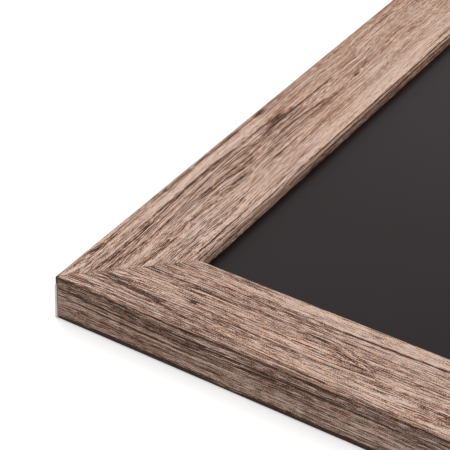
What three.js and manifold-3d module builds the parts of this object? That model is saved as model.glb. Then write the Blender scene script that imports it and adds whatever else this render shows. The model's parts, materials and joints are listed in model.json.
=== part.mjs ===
// A framed wall chalkboard, lying on its back: millimetres, +Z up out of the writing face, the origin at the
// centre of the back plane. X runs along the long side, and +Y points to the top of a board hung landscape.
//
// Four mitred lengths of rebated moulding make the frame, with steel V-nails across each mitre from behind. The
// writing panel drops into the rebate, then a cardboard filler and a backing board. Flexible steel points in
// the rebate wall hold the three sheets. Wire loops on riveted plates hang the board landscape or portrait.

import * as THREE from "three";
import { mergeVertices } from "three/addons/utils/BufferGeometryUtils.js";
import Module from "manifold-3d";

const wasm = await Module();
wasm.setup();

// Frame
const boardLength = 600;
const boardHeight = 400;
const mouldingWidth = 40;
const rebateWidth = 8;
const lipDepth = 5.2; // front of the frame to the shoulder that the writing panel lies against
const outerEdgeRadius = 1;
const innerEdgeRadius = 1.4;
const backEdgeRadius = 0.6;
const edgeSegments = 6;
const mitreGap = 0.3; // between the two cut ends
const mitreStep = 0.8; // how far a rail's outer face sits back from the ends of the stiles

// Sheets in the rebate
const panelThickness = 3;
const fillerThickness = 2.5;
const backingThickness = 2.5;
const sheetPlay = 1; // between the edge of a sheet and the rebate wall
const seatGap = 0.1; // between two flat faces that lie on each other

// V-nails
const vNailLeg = 6.5;
const vNailThickness = 0.6;
const vNailHeight = 12;
const vNailSink = 0.8; // back of the frame to the driven end
const vNailPlay = 0.2;
const vNailOuterInset = 9; // outer face to the point of the outer V
const vNailWallInset = 11; // rebate wall to the point of the inner V

// Flexible points
const pointWidth = 6;
const pointThickness = 0.5;
const pointDriven = 6.5; // length inside the moulding
const pointFree = 8.5; // length that stands out of the rebate wall
const pointTaper = 2.5; // length of the tapered tip
const pointTipWidth = 2;
const pointLip = 3; // length of the free end that is bent off the backing board
const pointLipDrop = 0.75;
const pointPlay = 0.1;
const pointEndInset = 38; // corner of the rebate to a side's first point
const pointsPerLongSide = 4;
const pointsPerShortSide = 2;

// Hangers
const wireRadius = 1;
const wireSides = 10;
const wirePlay = 0.15; // between the wire and the barrel that it turns in
const loopReach = 14; // hinge axis to the middle of the wire at the far end
const loopBendRadius = 2;
const loopSteps = 48;
const loopButtGap = 0.6; // between the two ends of the wire, inside the barrel
const plateWidth = 12;
const plateThickness = 0.8;
const plateReach = 10.4; // hinge axis to the end of the plate
const plateCornerRadius = 2;
const barrelEndPlay = 0.4; // end of the barrel to the start of the wire's bend
const barrelSlit = 0.4;
const barrelSegments = 16;
const barrelClearance = 2.5; // back plane of the frame to the barrel
const loopClearance = 0.3; // back plane of the frame to a loop that has dropped
const hangerRoom = 2; // free end of a flexible point to a loop that is laid flat
const landscapeInset = 98; // corner of the rebate to a hanger on the top rail's side
const portraitInset = 78; // corner of the rebate to a hanger on the left stile's side

// Rivets
const rivetRadius = 1.5;
const rivetHeadRadius = 2.5;
const rivetHeadHeight = 0.7;
const rivetTailRadius = 2.2;
const rivetTailHeight = 0.6;
const rivetSpacing = 6;
const rivetSetBack = 6.4; // hinge axis to the rivets
const rivetPlay = 0.1;
const rivetSides = 16;
const rivetHeadSegments = 3;

const overshoot = 1; // how far a cutter reaches past the face that it cuts
const weldDistance = 1e-4;

// Levels above the back plane. The hangers, the sheets and the lip add up to the depth of the moulding.
const barrelRadius = wireRadius + wirePlay + plateThickness;
const hingeLevel = barrelClearance + barrelRadius;
const plateFront = hingeLevel + barrelRadius;
const backingBack = plateFront + seatGap;
const fillerBack = backingBack + backingThickness + seatGap;
const panelBack = fillerBack + fillerThickness + seatGap;
const shoulderLevel = panelBack + panelThickness + seatGap;
const mouldingDepth = shoulderLevel + lipDepth;

// Distances from the outer face of a side, square to it
const rebateWall = mouldingWidth - rebateWidth;
const hingeInset = rebateWall + pointFree + hangerRoom + wireRadius + loopReach;

const sheetLength = boardLength - 2 * (rebateWall + sheetPlay);
const sheetHeight = boardHeight - 2 * (mitreStep + rebateWall + sheetPlay);
const loopDroop = Math.asin((hingeLevel - wireRadius - loopClearance) / loopReach);

const decorFoil = { color: 0xa58875, roughness: 0.55, metalness: 0 };
const chalkLacquer = { color: 0x343031, roughness: 0.5, metalness: 0 };
const corrugatedCard = { color: 0xb08d62, roughness: 0.95, metalness: 0 };
const hardboard = { color: 0x8a6440, roughness: 0.8, metalness: 0 };
const zincSteel = { color: 0xb9bcc0, roughness: 0.35, metalness: 1 };
const nickelWire = { color: 0xc4c2bd, roughness: 0.25, metalness: 1 };

function named(name, geometry, finish) {
  const mesh = new THREE.Mesh(geometry, new THREE.MeshStandardMaterial(finish));
  mesh.name = name;
  return mesh;
}

// A closed geometry as a solid that can be cut and joined.
function solidOf(geometry) {
  const bare = geometry.clone();
  bare.deleteAttribute("normal");
  bare.deleteAttribute("uv");
  const welded = mergeVertices(bare, weldDistance);
  const triangles = [];
  for (let i = 0; i < welded.index.count; i += 3) {
    const [a, b, c] = [0, 1, 2].map((corner) => welded.index.getX(i + corner));
    if (a !== b && b !== c && c !== a) triangles.push(a, b, c);
  }
  const vertProperties = new Float32Array(welded.attributes.position.array);
  return new wasm.Manifold(new wasm.Mesh({ numProp: 3, vertProperties, triVerts: new Uint32Array(triangles) }));
}

function geometryOf(solid) {
  const mesh = solid.getMesh();
  const geometry = new THREE.BufferGeometry();
  geometry.setAttribute("position", new THREE.BufferAttribute(mesh.vertProperties, 3));
  geometry.setIndex(new THREE.BufferAttribute(mesh.triVerts, 1));
  return geometry;
}

function cut(solid, geometries) {
  return geometries.reduce((rest, geometry) => rest.subtract(solidOf(geometry)), solid);
}

function polygon(points) {
  return new THREE.Shape(points.map(([x, y]) => new THREE.Vector2(x, y)));
}

// A plan outline, extruded from one level to another.
function extrudeBetween(shape, low, high, curveSegments = edgeSegments) {
  const settings = { depth: high - low, bevelEnabled: false, curveSegments };
  return new THREE.ExtrudeGeometry(shape, settings).translate(0, 0, low);
}

// A side view with its x along Y and its y up, extruded to a width that is centred on X = 0.
function extrudeAcross(shape, width, curveSegments = edgeSegments) {
  const geometry = extrudeBetween(shape, -width / 2, width / 2, curveSegments);
  return geometry.rotateX(Math.PI / 2).rotateZ(Math.PI / 2);
}

function upright(radius, low, high) {
  const cylinder = new THREE.CylinderGeometry(radius, radius, high - low, rivetSides);
  return cylinder.rotateX(Math.PI / 2).translate(0, 0, (low + high) / 2);
}

// Moulding in section: x inwards from the outer face, y up from the back.
function mouldingSection() {
  const front = mouldingDepth;
  const inner = mouldingWidth;
  const section = new THREE.Shape();
  section.moveTo(backEdgeRadius, 0);
  section.lineTo(rebateWall, 0);
  section.lineTo(rebateWall, shoulderLevel);
  section.lineTo(inner, shoulderLevel);
  section.absarc(inner - innerEdgeRadius, front - innerEdgeRadius, innerEdgeRadius, 0, Math.PI / 2);
  section.absarc(outerEdgeRadius, front - outerEdgeRadius, outerEdgeRadius, Math.PI / 2, Math.PI);
  section.absarc(backEdgeRadius, backEdgeRadius, backEdgeRadius, Math.PI, 1.5 * Math.PI);
  return section;
}

// A length of moulding with mitred ends: X along it, Y inwards from its outer face, Z up.
function mitredMoulding(length) {
  const geometry = extrudeBetween(mouldingSection(), 0, 1);
  const position = geometry.attributes.position;
  const endTrim = mitreGap / Math.SQRT2;
  for (let i = 0; i < position.count; i++) {
    const inwards = position.getX(i);
    const up = position.getY(i);
    const isFirstEnd = position.getZ(i) < 0.5;
    position.setXYZ(i, isFirstEnd ? inwards + endTrim : length - inwards - endTrim, inwards, up);
  }
  return geometry;
}

// V-nail in a corner's frame, X and Y inwards from the two outer faces: its legs point to the outer faces.
function vNail(inset, low, high, play) {
  const end = -vNailLeg - play;
  const inside = -vNailThickness - play;
  const outline = [[play, play], [end, play], [end, inside], [inside, inside], [inside, end], [play, end]];
  return extrudeBetween(polygon(outline), low, high).translate(inset, inset, 0);
}

function vNailInsets() {
  return { outer: vNailOuterInset, inner: rebateWall - vNailWallInset };
}

function vNailPockets(length, setBack) {
  return Object.values(vNailInsets()).flatMap((inset) => {
    const pocket = vNail(inset - setBack, -overshoot, vNailSink + vNailHeight + vNailPlay, vNailPlay);
    return [pocket, pocket.clone().rotateZ(Math.PI / 2).translate(length, 0, 0)];
  });
}

// Flexible point, its upper side at Z = 0: Y runs out of the rebate wall, from the tip to the free end.
function flexiblePoint() {
  const bend = pointFree - pointLip;
  const side = polygon([
    [-pointDriven, 0],
    [-pointDriven, -pointThickness],
    [bend, -pointThickness],
    [pointFree, -pointThickness - pointLipDrop],
    [pointFree, -pointLipDrop],
    [bend, 0],
  ]);
  const half = pointWidth / 2;
  const plan = new THREE.Shape();
  plan.moveTo(-pointTipWidth / 2, -pointDriven);
  plan.lineTo(pointTipWidth / 2, -pointDriven);
  plan.lineTo(half, pointTaper - pointDriven);
  plan.absarc(0, pointFree - half, half, 0, Math.PI);
  plan.lineTo(-half, pointTaper - pointDriven);
  const outline = extrudeBetween(plan, -2 * (pointThickness + pointLipDrop), overshoot);
  return geometryOf(solidOf(extrudeAcross(side, 2 * pointWidth)).intersect(solidOf(outline)));
}

// The slot that a flexible point is driven into, open to the rebate.
function pointSlot() {
  const half = pointWidth / 2 + pointPlay;
  const outline = polygon([
    [-half, -pointDriven - pointPlay],
    [half, -pointDriven - pointPlay],
    [half, rebateWidth / 2],
    [-half, rebateWidth / 2],
  ]);
  return extrudeBetween(outline, -pointThickness - pointPlay, pointPlay);
}

// One side of the frame, its outer face set back from the ends of its neighbours.
function frameMember(length, setBack, pointPlaces) {
  const slots = pointPlaces.map((along) => pointSlot().translate(along - setBack, rebateWall, plateFront));
  return geometryOf(cut(solidOf(mitredMoulding(length)), [...vNailPockets(length, setBack), ...slots]));
}

function evenlySpaced(length, inset, count) {
  const pitch = (length - 2 * inset) / (count - 1);
  return Array.from({ length: count }, (_, i) => inset + i * pitch);
}

// An arc in the XY plane, drawn from one angle to another in degrees.
class FlatArc extends THREE.Curve {
  constructor(centre, radius, from, to) {
    super();
    Object.assign(this, { centre, radius, from, to });
  }

  getPoint(t, target = new THREE.Vector3()) {
    const angle = THREE.MathUtils.degToRad(THREE.MathUtils.lerp(this.from, this.to, t));
    return target.set(Math.cos(angle), Math.sin(angle), 0).multiplyScalar(this.radius).add(this.centre);
  }
}

// Loop: a wire bent to a D whose straight side, the hinge axis, lies along X. The round end points to -Y.
function hangingLoop() {
  const barEnd = plateWidth / 2 + barrelEndPlay;
  const legX = barEnd + loopBendRadius;
  const legEnd = loopReach - legX;
  const wire = new THREE.CurvePath();
  const at = (x, y) => new THREE.Vector3(x, y, 0);
  const line = (x0, y0, x1, y1) => wire.add(new THREE.LineCurve3(at(x0, y0), at(x1, y1)));
  const arc = (x, y, radius, from, to) => wire.add(new FlatArc(at(x, y), radius, from, to));
  line(loopButtGap / 2, 0, barEnd, 0);
  arc(barEnd, loopBendRadius, loopBendRadius, -90, 0);
  line(legX, loopBendRadius, legX, legEnd);
  arc(0, legEnd, legX, 0, 180);
  line(-legX, legEnd, -legX, loopBendRadius);
  arc(-barEnd, loopBendRadius, loopBendRadius, 180, 270);
  line(-barEnd, 0, -loopButtGap / 2, 0);
  const turns = Array.from({ length: wireSides }, (_, i) => (2 * Math.PI * i) / wireSides);
  const section = polygon(turns.map((turn) => [wireRadius * Math.cos(turn), wireRadius * Math.sin(turn)]));
  return new THREE.ExtrudeGeometry(section, { steps: loopSteps, extrudePath: wire }).rotateZ(Math.PI);
}

// Plate: a strip that runs from +Y to the hinge axis, where its end is rolled round the wire.
function hangerPlate() {
  const bore = barrelRadius - plateThickness;
  const rollEnd = Math.asin(bore / barrelRadius) - barrelSlit / barrelRadius;
  const side = new THREE.Shape();
  side.moveTo(plateReach, bore);
  side.lineTo(plateReach, barrelRadius);
  side.absarc(0, 0, barrelRadius, Math.PI / 2, 2 * Math.PI + rollEnd);
  side.absarc(0, 0, bore, 2 * Math.PI, Math.PI / 2, true);
  const half = plateWidth / 2;
  const cornerY = plateReach - plateCornerRadius;
  const plan = new THREE.Shape();
  plan.moveTo(-half, -2 * barrelRadius);
  plan.lineTo(half, -2 * barrelRadius);
  plan.absarc(half - plateCornerRadius, cornerY, plateCornerRadius, 0, Math.PI / 2);
  plan.absarc(plateCornerRadius - half, cornerY, plateCornerRadius, Math.PI / 2, Math.PI);
  const outline = extrudeBetween(plan, -2 * barrelRadius, 2 * barrelRadius);
  const strip = solidOf(extrudeAcross(side, 2 * plateWidth, barrelSegments));
  const hole = upright(rivetRadius + rivetPlay, 0, 2 * barrelRadius).translate(0, rivetSetBack, 0);
  const holes = rivetOffsets().map((across) => hole.clone().translate(across, 0, 0));
  return geometryOf(cut(strip.intersect(solidOf(outline)), holes));
}

function rivetOffsets() {
  return [-rivetSpacing / 2, rivetSpacing / 2];
}

// Rivet through the plate and the backing board, its head below, with the plate's lower face at Z = 0.
function rivet() {
  const headSide = -seatGap;
  const tailSide = plateThickness + seatGap + backingThickness + seatGap;
  const crown = new THREE.Vector2(rivetHeadRadius, headSide - rivetHeadHeight);
  const profile = new THREE.Path();
  profile.moveTo(0, crown.y);
  profile.quadraticCurveTo(crown.x, crown.y, crown.x, headSide);
  profile.lineTo(rivetRadius, headSide);
  profile.lineTo(rivetRadius, tailSide);
  profile.lineTo(rivetTailRadius, tailSide);
  profile.lineTo((rivetRadius + rivetTailRadius) / 2, tailSide + rivetTailHeight);
  profile.lineTo(0, tailSide + rivetTailHeight);
  return new THREE.LatheGeometry(profile.getPoints(rivetHeadSegments), rivetSides).rotateX(Math.PI / 2);
}

const chalkboard = new THREE.Group();

// The sides in turn from the bottom, anticlockwise from the front. Each group has its origin at the corner
// where its side starts, X along the side and Y inwards.
const sides = [
  { name: "bottom_rail", corner: "bottom_left", x: -1, y: -1 },
  { name: "right_stile", corner: "bottom_right", x: 1, y: -1 },
  { name: "top_rail", corner: "top_right", x: 1, y: 1 },
  { name: "left_stile", corner: "top_left", x: -1, y: 1 },
];
sides.forEach((side, i) => {
  const isRail = side.name.endsWith("rail");
  side.length = isRail ? boardLength : boardHeight;
  side.setBack = isRail ? mitreStep : 0;
  side.group = new THREE.Group();
  side.group.position.set((side.x * boardLength) / 2, (side.y * boardHeight) / 2, 0);
  side.group.rotation.z = (i * Math.PI) / 2;
  chalkboard.add(side.group);

  const pointCount = isRail ? pointsPerLongSide : pointsPerShortSide;
  const places = evenlySpaced(side.length, rebateWall + pointEndInset, pointCount);
  const member = frameMember(side.length - 2 * side.setBack, side.setBack, places);
  const mesh = named(side.name, member, decorFoil);
  mesh.position.set(side.setBack, side.setBack, 0);
  side.group.add(mesh);

  const edge = side.name.split("_")[0];
  places.forEach((along, n) => {
    const point = named(`${edge}_flexible_point_${n + 1}`, flexiblePoint(), zincSteel);
    point.position.set(along, side.setBack + rebateWall, plateFront);
    side.group.add(point);
  });
  for (const [place, inset] of Object.entries(vNailInsets())) {
    const nail = vNail(inset, vNailSink, vNailSink + vNailHeight, 0);
    side.group.add(named(`${side.corner}_v_nail_${place}`, nail, zincSteel));
  }
});

// Hangers: a pair along the top rail and a pair along the left stile
const rivets = [];
const [, , topRail, leftStile] = sides;
const hangerPairs = [
  { side: topRail, inset: landscapeInset, names: ["top_right", "top_left"] },
  { side: leftStile, inset: portraitInset, names: ["left_upper", "left_lower"] },
];
for (const { side, inset, names } of hangerPairs) {
  evenlySpaced(side.length, rebateWall + inset, names.length).forEach((along, n) => {
    const hanger = new THREE.Group();
    hanger.position.set(along, side.setBack + hingeInset, hingeLevel);
    side.group.add(hanger);
    hanger.add(named(`${names[n]}_hanger_plate`, hangerPlate(), zincSteel));
    const loop = named(`${names[n]}_hanging_loop`, hangingLoop(), nickelWire);
    loop.rotation.x = loopDroop;
    hanger.add(loop);
    rivetOffsets().forEach((across, k) => {
      const pin = named(`${names[n]}_rivet_${k + 1}`, rivet(), zincSteel);
      pin.position.set(across, rivetSetBack, barrelRadius - plateThickness);
      hanger.add(pin);
      rivets.push(pin);
    });
  });
}

// Sheets in the rebate, from the back
chalkboard.updateMatrixWorld(true);

function sheet(thickness, back) {
  return new THREE.BoxGeometry(sheetLength, sheetHeight, thickness).translate(0, 0, back + thickness / 2);
}

function holesAtRivets(radius, low, high) {
  return rivets.map((pin) => {
    const place = pin.getWorldPosition(new THREE.Vector3());
    return upright(radius, low, high).translate(place.x, place.y, 0);
  });
}

const backingFront = backingBack + backingThickness;
const shankBore = rivetRadius + rivetPlay;
const throughBacking = holesAtRivets(shankBore, backingBack - overshoot, backingFront + overshoot);
const backing = cut(solidOf(sheet(backingThickness, backingBack)), throughBacking);
chalkboard.add(named("backing_board", geometryOf(backing), hardboard));

const tailPocketTop = fillerBack + rivetTailHeight + rivetPlay;
const overTails = holesAtRivets(rivetTailRadius + rivetPlay, fillerBack - overshoot, tailPocketTop);
const filler = cut(solidOf(sheet(fillerThickness, fillerBack)), overTails);
chalkboard.add(named("filler_sheet", geometryOf(filler), corrugatedCard));

chalkboard.add(named("writing_panel", sheet(panelThickness, panelBack), chalkLacquer));

export default chalkboard;
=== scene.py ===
"""Looks of a framed chalkboard lying on its back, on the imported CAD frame. Metres, +Z out of its face."""

import json
import math

import bmesh
import bpy
import numpy as np
from mathutils import Matrix, Vector


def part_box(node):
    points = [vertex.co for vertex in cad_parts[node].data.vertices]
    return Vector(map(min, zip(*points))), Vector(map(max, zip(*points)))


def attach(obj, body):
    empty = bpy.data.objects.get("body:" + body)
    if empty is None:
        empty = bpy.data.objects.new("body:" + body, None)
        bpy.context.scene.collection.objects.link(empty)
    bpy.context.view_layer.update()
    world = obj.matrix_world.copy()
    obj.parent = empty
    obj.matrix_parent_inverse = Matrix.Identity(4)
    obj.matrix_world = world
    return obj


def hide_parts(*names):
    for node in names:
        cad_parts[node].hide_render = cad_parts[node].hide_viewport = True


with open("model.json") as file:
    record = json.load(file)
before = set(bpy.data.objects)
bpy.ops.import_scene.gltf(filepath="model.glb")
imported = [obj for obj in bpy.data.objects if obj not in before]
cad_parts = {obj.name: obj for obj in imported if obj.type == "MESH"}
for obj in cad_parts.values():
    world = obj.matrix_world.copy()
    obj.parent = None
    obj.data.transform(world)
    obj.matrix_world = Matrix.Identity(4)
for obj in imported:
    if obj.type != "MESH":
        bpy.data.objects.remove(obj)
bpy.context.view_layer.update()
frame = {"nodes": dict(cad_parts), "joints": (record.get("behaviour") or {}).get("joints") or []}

# Frame mouldings. Four lengths of fibreboard, milled to section, then wrapped in a paper foil printed and
# embossed as weathered oak. The mitres are sawn after wrapping, so the pale raw core shows on the cut ends,
# in the rebate and on the back. Steel V-nails and points are pressed in from behind.

MM = 0.001
BOARD_LENGTH = 600 * MM
BOARD_HEIGHT = 400 * MM
MOULDING_WIDTH = 40 * MM
MOULDING_DEPTH = 20 * MM
REBATE_WALL = 32 * MM
SHOULDER = 14.8 * MM
OUTER_EDGE = 1.0 * MM
INNER_EDGE = 1.4 * MM
BACK_EDGE = 0.6 * MM
ARC_STEPS = 8
FOIL_ON_BACK = 3 * MM
FOIL_UNDER_LIP = 4 * MM
MITRE_STEP = 0.8 * MM  # how far a rail's outer side sits back from the ends of the stiles
STILE_TRIM = 0.212 * MM  # a stile stops short of the mitre line by this much, along its length
RAIL_TRIM = -0.16 * MM  # and a rail passes it, which leaves a hairline between the two
TIP_WEAR = 0.6 * MM  # rubbed off the left stile's tip, above the sliver of its cut end that shows
TIP_WEAR_FROM = 15.6 * MM
TIP_WEAR_SLOPE = 0.4
POCKET_PLAY = 0.12 * MM
BELOW_BACK = -1 * MM
WELD = 0.001 * MM  # points nearer than this are one

# Each side takes its own stretch of the printed roll, in metres. The bottom rail's and the left stile's are
# measured from the corner where they meet, and the others' from the corner where the side starts.
ROLL_STARTS = {"bottom_rail": 0.0, "left_stile": 1.0, "right_stile": 2.0, "top_rail": 3.0}


def linear(hex_colour):
    """An sRGB hex colour as linear RGBA."""
    channels = [int(hex_colour[i:i + 2], 16) / 255 for i in (1, 3, 5)]
    return (*[c / 12.92 if c <= 0.04045 else ((c + 0.055) / 1.055) ** 2.4 for c in channels], 1.0)


def add_node(tree, kind, inputs=None, **settings):
    """A new node, a shader one where its kind doesn't say so, with its settings and links.

    Inputs are named, or numbered where names repeat, and take a value or another node's output.
    """
    node = tree.nodes.new(kind if "Node" in kind else "ShaderNode" + kind)
    for name, value in settings.items():
        setattr(node, name, value)
    for key, value in (inputs or {}).items():
        socket = node.inputs[key] if isinstance(key, int) else next(
            s for s in node.inputs if s.enabled and s.name == key)
        if isinstance(value, bpy.types.Node):
            value = next(s for s in value.outputs if s.enabled)
        if isinstance(value, bpy.types.NodeSocket):
            tree.links.new(value, socket)
        else:
            socket.default_value = value
    return node


def new_finish(name):
    """A material with an empty node tree, and that tree."""
    finish = bpy.data.materials.new(name)
    finish.use_nodes = True
    finish.node_tree.nodes.clear()
    return finish, finish.node_tree


def new_group(name, kind, inputs, outputs):
    """A node group with sockets of the given kinds, what it is given, and its inputs' identifiers."""
    group = bpy.data.node_groups.new(name, kind)
    identifiers = {}
    for socket_name, socket_kind in inputs.items():
        identifiers[socket_name] = group.interface.new_socket(
            socket_name, in_out="INPUT", socket_type="NodeSocket" + socket_kind).identifier
    for socket_name, socket_kind in outputs.items():
        group.interface.new_socket(socket_name, in_out="OUTPUT", socket_type="NodeSocket" + socket_kind)
    return group, add_node(group, "NodeGroupInput").outputs, identifiers


def distance_apart(tree, a, b):
    """How far two values are apart."""
    difference = add_node(tree, "Math", {0: a, 1: b}, operation="SUBTRACT")
    return add_node(tree, "Math", {0: difference}, operation="ABSOLUTE")


def shaded(tree, value, low, high, dark, light):
    """A colour that goes from a dark one to a light one as a value goes from low to high."""
    level = add_node(tree, "MapRange", {"Value": value, "From Min": low, "From Max": high})
    return add_node(tree, "Mix", {"Factor": level, "A": linear(dark), "B": linear(light)}, data_type="RGBA")


def surface(tree, colour, roughness, relief, strength, depth, rest):
    """The material's surface: its colour, roughness and relief, and the rest of its inputs by name."""
    normal = add_node(tree, "Bump", {"Height": relief, "Strength": strength, "Distance": depth})
    shader = add_node(tree, "BsdfPrincipled", {
        "Base Color": colour, "Roughness": roughness, "Normal": normal, **rest})
    add_node(tree, "OutputMaterial", {"Surface": shader})


def mesh_data(name, mesh):
    """A bmesh as mesh data, with the bmesh freed."""
    data = bpy.data.meshes.new(name)
    mesh.to_mesh(data)
    mesh.free()
    return data


def put_in_scene(name, data):
    """An object of a mesh, lamp or camera, in the scene."""
    piece = bpy.data.objects.new(name, data)
    bpy.context.scene.collection.objects.link(piece)
    return piece


def apply_modifiers(piece):
    """Gives a piece the plain mesh that its modifiers make, and takes them off."""
    depsgraph = bpy.context.evaluated_depsgraph_get()
    made = bpy.data.meshes.new_from_object(piece.evaluated_get(depsgraph))
    piece.modifiers.clear()
    piece.data = made


def moulding_section():
    """Points (inwards, up, place on the foil) of the section: the foil's from the back on, and the core's."""
    def arc(x, z, radius, start, foil_start, foil_end):
        shares = np.linspace(0, 1, ARC_STEPS + 1)
        return [(x + radius * math.cos(start - t * math.pi / 2),
                 z + radius * math.sin(start - t * math.pi / 2),
                 foil_start + t * (foil_end - foil_start)) for t in shares]

    top, inner = MOULDING_DEPTH, MOULDING_WIDTH
    arris, sight_edge = top, top + inner
    under_lip = sight_edge + top - SHOULDER
    foil = [(FOIL_ON_BACK, 0, -FOIL_ON_BACK)]
    foil += arc(BACK_EDGE, BACK_EDGE, BACK_EDGE, -math.pi / 2, -BACK_EDGE, BACK_EDGE)
    foil += [(0, z, z) for z in (TIP_WEAR_FROM, TIP_WEAR_FROM + TIP_WEAR)]
    foil += arc(OUTER_EDGE, top - OUTER_EDGE, OUTER_EDGE, math.pi, arris - OUTER_EDGE, arris + OUTER_EDGE)
    foil += [(1.5 * OUTER_EDGE, top, arris + 1.5 * OUTER_EDGE)]
    foil += arc(inner - INNER_EDGE, top - INNER_EDGE, INNER_EDGE, math.pi / 2,
                sight_edge - INNER_EDGE, sight_edge + INNER_EDGE)
    foil += [(inner, SHOULDER, under_lip), (inner - FOIL_UNDER_LIP, SHOULDER, under_lip + FOIL_UNDER_LIP)]
    core = [(REBATE_WALL, SHOULDER, 0), (REBATE_WALL, 0, 0)]
    return foil, core


def moulding_length(name, length, set_back, start_corner, turn):
    """A mitred length: X along it and Y inwards, turned and placed at the corner where it starts."""
    foil, core = moulding_section()
    section = foil + core
    trim = STILE_TRIM if name.endswith("stile") else RAIL_TRIM
    is_left_stile = name == "left_stile"
    mesh = bmesh.new()
    roll = mesh.loops.layers.uv.new("foil")
    mitres = mesh.loops.layers.uv.new("mitres")
    rings = [[mesh.verts.new((end(x), x, z)) for x, z, s in section]
             for end in (lambda x: x + trim, lambda x: length - x - trim)]
    if is_left_stile:
        for vert in rings[1]:
            if vert.co.z > TIP_WEAR_FROM + TIP_WEAR / 2:
                vert.co.x -= max(0.0, TIP_WEAR - TIP_WEAR_SLOPE * vert.co.y)
    for i in range(len(section)):
        j = (i + 1) % len(section)
        face = mesh.faces.new((rings[0][i], rings[1][i], rings[1][j], rings[0][j]))
        face.material_index = 0 if i < len(foil) - 1 else 1
        for loop, k in zip(face.loops, (i, i, j, j)):
            along = loop.vert.co.x + set_back
            if is_left_stile:
                along = length + 2 * set_back - along
            loop[roll].uv = (ROLL_STARTS[name] + along, section[k][2])
            loop[mitres].uv = (loop.vert.co.x - section[k][0], length - loop.vert.co.x - section[k][0])
    for ring in (rings[0], rings[1][::-1]):
        mesh.faces.new(ring).material_index = 1
    bmesh.ops.recalc_face_normals(mesh, faces=mesh.faces)
    mesh.transform(Matrix.Translation(start_corner) @ Matrix.Rotation(turn, 4, "Z")
                   @ Matrix.Translation((set_back, set_back, 0)))
    return put_in_scene("moulding_" + name, mesh_data(name, mesh))


def add_pocket(pockets, node_name, bottom=None):
    """Adds a copy of a pressed-in CAD node, grown by a play, and drawn down to a bottom if one is given."""
    mesh = bmesh.new()
    mesh.from_mesh(frame["nodes"][node_name].data)
    bmesh.ops.remove_doubles(mesh, verts=mesh.verts, dist=WELD)
    bmesh.ops.recalc_face_normals(mesh, faces=mesh.faces)
    mesh.normal_update()
    low = min(vert.co.z for vert in mesh.verts)
    for vert in mesh.verts:
        is_lowest = vert.co.z < low + 10 * WELD
        push = Vector()
        for normal in {tuple(round(c, 3) for c in face.normal) for face in vert.link_faces}:
            push += Vector(normal) * POCKET_PLAY
        vert.co += Vector((max(-POCKET_PLAY, min(POCKET_PLAY, c)) for c in push))
        if bottom is not None and is_lowest:
            vert.co.z = bottom
    for face in mesh.faces:
        face.material_index = 1
    data = mesh_data("pocket", mesh)
    pockets.from_mesh(data)
    bpy.data.meshes.remove(data)


pockets = bmesh.new()
for node_name in frame["nodes"]:
    if "_v_nail_" in node_name:
        add_pocket(pockets, node_name, BELOW_BACK)
    if "_flexible_point_" in node_name:
        add_pocket(pockets, node_name)
pocket_cutter = put_in_scene("pockets", mesh_data("pockets", pockets))

half_length, half_height = BOARD_LENGTH / 2, BOARD_HEIGHT / 2
rail_length = BOARD_LENGTH - 2 * MITRE_STEP
mouldings = [
    moulding_length("bottom_rail", rail_length, MITRE_STEP, (-half_length, -half_height, 0), 0),
    moulding_length("right_stile", BOARD_HEIGHT, 0, (half_length, -half_height, 0), math.pi / 2),
    moulding_length("top_rail", rail_length, MITRE_STEP, (half_length, half_height, 0), math.pi),
    moulding_length("left_stile", BOARD_HEIGHT, 0, (-half_length, half_height, 0), -math.pi / 2),
]

# Oak decor foil, matt, with embossed pores: the print carries the growth bands, the grain lines and knots,
# and the embossing a fine tick of dark pores that runs along the grain. The pale flecks and hairs beside the
# pores are painted glints and highlights off the embossing. Places on the roll are in millimetres: 0 to 20
# across is the outer side, 20 to 60 the face and over 60 the lip.
foil_finish, foil_tree = new_finish("oak decor foil, matt embossed")

# One printed grain line, as a group: its level is a cubic along it, and it fades at its ends. Its ranges
# aren't clamped, since a clamp in each of so many lines is more than the shader has room for.
LINE_INPUTS = ("Along", "Across", "Start", "End", "Level", "Rise", "Bow", "Swing", "Half Width", "Depth")
line_group, line_given, _ = new_group(
    "printed grain line", "ShaderNodeTree", dict.fromkeys(LINE_INPUTS, "Float"), {"Tone": "Float"})
share = add_node(line_group, "MapRange", {
    "Value": line_given["Along"], "From Min": line_given["Start"], "From Max": line_given["End"]},
    clamp=False)
swing = add_node(line_group, "Math", {0: share, 1: line_given["Swing"], 2: line_given["Bow"]},
                 operation="MULTIPLY_ADD")
bow = add_node(line_group, "Math", {0: share, 1: swing, 2: line_given["Rise"]}, operation="MULTIPLY_ADD")
centre = add_node(line_group, "Math", {0: share, 1: bow, 2: line_given["Level"]}, operation="MULTIPLY_ADD")
stroke = add_node(line_group, "MapRange", {
    "Value": distance_apart(line_group, line_given["Across"], centre),
    "From Min": line_given["Half Width"], "From Max": 0.0},
    interpolation_type="SMOOTHSTEP", clamp=False)
fade = add_node(line_group, "MapRange", {
    "Value": distance_apart(line_group, share, 0.5), "From Min": 0.5, "From Max": 0.38},
    interpolation_type="SMOOTHSTEP", clamp=False)
faded = add_node(line_group, "Math", {0: stroke, 1: fade}, operation="MULTIPLY")
line_depth = add_node(line_group, "Math", {0: faded, 1: line_given["Depth"]}, operation="MULTIPLY")
add_node(line_group, "NodeGroupOutput", {"Tone": line_depth})

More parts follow.
